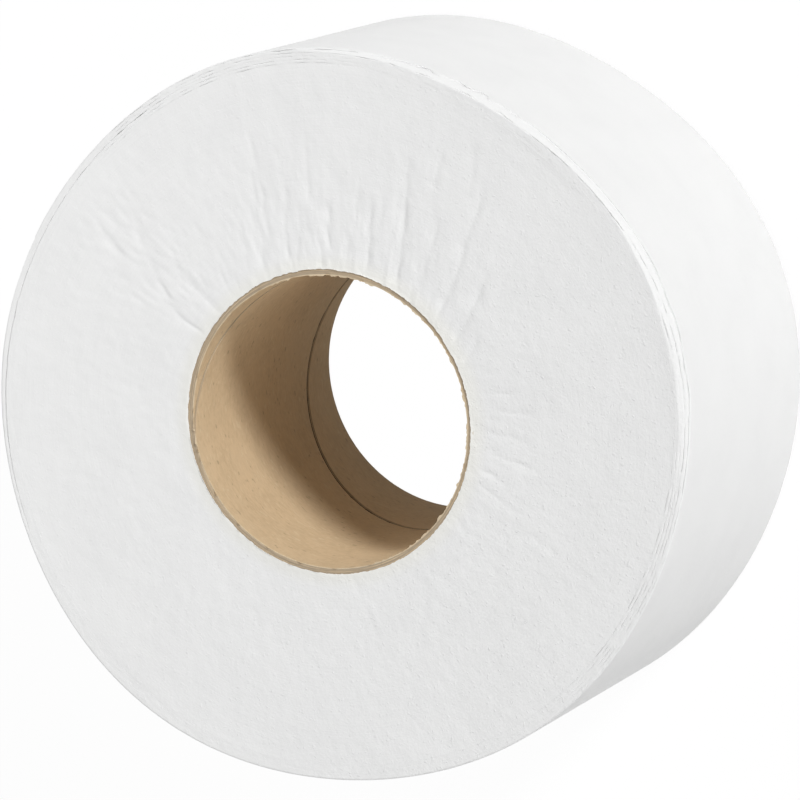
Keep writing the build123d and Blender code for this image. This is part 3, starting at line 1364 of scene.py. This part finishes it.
@dataclass
class BoardFray:
    """Short fibres that the saw tore loose along the tube's upper edge. Their bend is for a length of 1.

    Each has a random share, which sets its length and place across the edge, a lean and a slip.
    """

    bore: float
    width: float
    count: int = 420
    edge_points: int = 180
    longest: float = 0.85
    shortest: float = 0.3
    thickness: float = 0.055
    bend: tuple[Triple, ...] = ((0.5, -0.1, -0.05), (0.0, 0.25, 0.2), (-0.5, 0.0, 0.05))
    spread: float = 1.1
    least: Triple = (0.0, -0.8, -0.35)
    most: Triple = (1.0, 0.8, 0.35)
    shift: float = 0.06
    inward: float = 0.25
    sunk: float = 0.45
    tilt: float = 0.4
    swing: float = 1.6
    seed: int = 31

    def build(self, board: bpy.types.Material) -> bpy.types.Object:
        """Sets fibres along the edge.

        Args:
            board: Material of the fibres.

        Returns:
            The piece.
        """
        sizes = {
            "Bore": self.bore * MM,
            "Width": self.width * MM,
            "Spread": self.spread * MM,
            "Longest": self.longest * MM,
            "Shortest": self.shortest * MM,
            "Thickness": self.thickness,
        }
        piece = NodesPiece("board_fray", sizes)
        graph = piece.graph
        edge = graph.circle(self.edge_points, piece.size("Bore"))
        sockets = {"Curve": edge, "Count": self.count}
        spots = graph.node("GeometryNodeCurveToPoints", None, sockets)
        share, lean, slip = graph.parts(graph.chance(self.least, self.most, self.seed))
        x, y, _ = graph.parts(graph.node("GeometryNodeInputPosition").out())
        angle = y.does("ARCTAN2", x) + slip * self.shift
        size = piece.length(share)
        radius = piece.size("Bore") + share * piece.size("Spread") - size * self.inward
        z = piece.size("Width") - size * self.sunk
        place = graph.vector(radius * angle.cos(), radius * angle.sin(), z)
        points = graph.moved(spots.out("Points"), place)
        fibre = graph.fibre(self.bend, piece.size("Thickness"))
        turn = graph.vector(slip, lean * self.tilt, angle + lean * self.swing)
        return piece.finish(graph.instances(points, fibre, turn, size), board)


@dataclass
class Studio:
    """Camera, light and the pale floor that the roll stands on."""

    camera_place: Triple = (-1.71, -603.99, 1385.83)
    camera_right: Triple = (-0.38237, -0.84264, -0.37914)
    camera_up: Triple = (0.92401, -0.34870, -0.15690)
    camera_back: Triple = (0.0, -0.41032, 0.91194)
    camera_sight: float = 20000.0
    lens: float = 251.83
    sensor: float = 36.0
    key_side: Pair = (-68.0, 28.0)
    key_strength: float = 2.22
    key_spread: float = 13.0
    key_shade: float = 0.9
    bounce_place: Triple = (335.0, 190.0, 350.0)
    bounce_size: float = 260.0
    bounce_power: float = 0.28
    sky: float = 0.56
    fill: float = 0.56
    fill_side: Pair = (-170.0, 15.0)
    lobe: Pair = (0.42, 0.97)
    below_share: float = 0.36
    horizon: Pair = (-0.06, 0.0)
    floor_rings: tuple[float, ...] = (38.4, 120.0, 400.0, 1600.0)
    floor_points: int = 96
    floor_level: float = -0.02
    floor_colour: Triple = (0.72, 0.72, 0.72)
    shadow_share: float = 0.1
    floor_white: float = 1.04

    def build(self) -> None:
        """Sets up everything round the roll."""
        scene = bpy.context.scene
        scene.view_settings.view_transform = "Standard"
        self._camera(scene)
        self._lamps()
        self._world(scene)
        self._floor()

    def _camera(self, scene: bpy.types.Scene) -> None:
        """Camera at the photograph's angle."""
        data = bpy.data.cameras.new("camera")
        data.lens = self.lens
        data.sensor_width = self.sensor
        data.clip_end = self.camera_sight * MM
        camera = add_object("camera", data)
        axes = Matrix((self.camera_right, self.camera_up, self.camera_back)).transposed()
        camera.matrix_world = Matrix.Translation(Vector(self.camera_place) * MM) @ axes.to_4x4()
        scene.camera = camera

    def _lamps(self) -> None:
        """Soft key light, and a weak broad lamp across from it."""
        key = self._lamp("key", "SUN", self.key_strength, self._towards(*self.key_side))
        key.data.angle = math.radians(self.key_spread)
        bounce = self._lamp("bounce", "AREA", self.bounce_power, Vector(self.bounce_place))
        bounce.data.size = self.bounce_size * MM
        bounce.location = Vector(self.bounce_place) * MM

    @staticmethod
    def _lamp(name: str, kind: str, energy: float, side: Vector) -> bpy.types.Object:
        """Lamp that shines from a side towards the roll.

        Args:
            name: Its name.
            kind: Its type.
            energy: Its strength.
            side: Direction from the roll to the lamp.

        Returns:
            The lamp.
        """
        data = bpy.data.lights.new(name, kind)
        data.energy = energy
        lamp = add_object(name, data)
        lamp.rotation_mode = "QUATERNION"
        lamp.rotation_quaternion = side.to_track_quat("Z", "Y")
        return lamp

    @staticmethod
    def _towards(side: float, up: float) -> Vector:
        """Direction at an angle about the axis and one above the floor."""
        side, up = math.radians(side), math.radians(up)
        return Vector((math.cos(side) * math.cos(up), math.sin(side) * math.cos(up), math.sin(up)))

    @staticmethod
    def _seen(graph: Graph) -> Value:
        """1 for rays that show the background itself, in a mirror or through glass too."""
        path = graph.node("ShaderNodeLightPath")
        rays = path.out("Is Camera Ray") + path.out("Is Glossy Ray")
        return (rays + path.out("Is Transmission Ray")).does("MINIMUM", 1.0)

    def _world(self, scene: bpy.types.Scene) -> None:
        """Light from all round, weak round the key and strong at the fill, and a white background."""
        scene.world = bpy.data.worlds.new("studio")
        scene.world.use_nodes = True
        graph = Graph(scene.world.node_tree)
        ray = graph.node("ShaderNodeTexCoord").out("Generated")

        def beside(side: Pair) -> Value:
            """1 towards a side, falling to 0 some way round from it."""
            sockets = {0: ray, 1: self._towards(*side)}
            product = graph.node("ShaderNodeVectorMath", {"operation": "DOT_PRODUCT"}, sockets)
            return product.out("Value").ramp(*self.lobe)

        sky = (1.0 - beside(self.key_side) * self.key_shade) * self.sky
        sky = sky + beside(self.fill_side) * self.fill
        above = graph.parts(ray)[2].ramp(*self.horizon)
        sky = sky * (above * (1.0 - self.below_share) + self.below_share)
        strength = self._seen(graph) * (1.0 - sky) + sky
        light = graph.node("ShaderNodeBackground", None, {0: WHITE, 1: strength})
        graph.node("ShaderNodeOutputWorld", None, {0: light.out()})

    def _floor(self) -> bpy.types.Object:
        """Floor that is open under the bore."""
        material = bpy.data.materials.new("floor")
        material.use_nodes = True
        graph = Graph(material.node_tree)
        plain = graph.node("ShaderNodeBsdfDiffuse", None, {0: as_rgba(self.floor_colour)})
        white = graph.node("ShaderNodeEmission", None, {0: WHITE, 1: self.floor_white})
        share = self._seen(graph) * (1.0 - self.shadow_share)
        sockets = {0: share, 1: plain.out(), 2: white.out()}
        both = graph.node("ShaderNodeMixShader", None, sockets)
        graph.node("ShaderNodeOutputMaterial", None, {0: both.out()})
        turn = np.radians(np.linspace(0.0, 360.0, self.floor_points, endpoint=False))
        rings = [polar(radius, turn, self.floor_level) for radius in self.floor_rings]
        mesh = ring_mesh("floor", np.stack(rings))
        mesh.materials.append(material)
        return add_object("floor", mesh)


def main() -> None:
    """Builds and dresses the pieces in order, then the studio."""
    logging.basicConfig(level=logging.INFO, format="%(message)s")
    low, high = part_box("core_tube")
    outside = (high[0] - low[0]) / 2 / MM
    width = (high[2] - low[2]) / MM
    bore = next(m["dims"]["r_mm"] for m in frame["record"]["mounts"] if m["kind"] == "bore")
    outline, winding = Outline(), Winding()
    tissue = TissueFinish().make()
    board = BoardFinish().make()

    roll = SawnRoll(outline, winding, width, outside)
    sawn = roll.build()
    roll.dress(sawn, tissue)
    turns = LooseTurns(outline, winding, width, roll.sink).build(tissue)
    lint = Lint().build(joined("lint_base", (sawn.data, turns.data)), tissue)
    core = BoardTube(bore, outside, width)
    tube = core.build()
    core.dress(tube, board)
    fray = BoardFray(bore, width - core.recess).build(board)
    settle(sawn, "tissue", "wound_paper")
    settle(turns, "tissue", "wound_paper")
    settle(lint, "tissue")
    settle(tube, "kraft_board", "core_tube")
    settle(fray, "kraft_board")
    Studio().build()


if __name__ == "__main__":
    main()
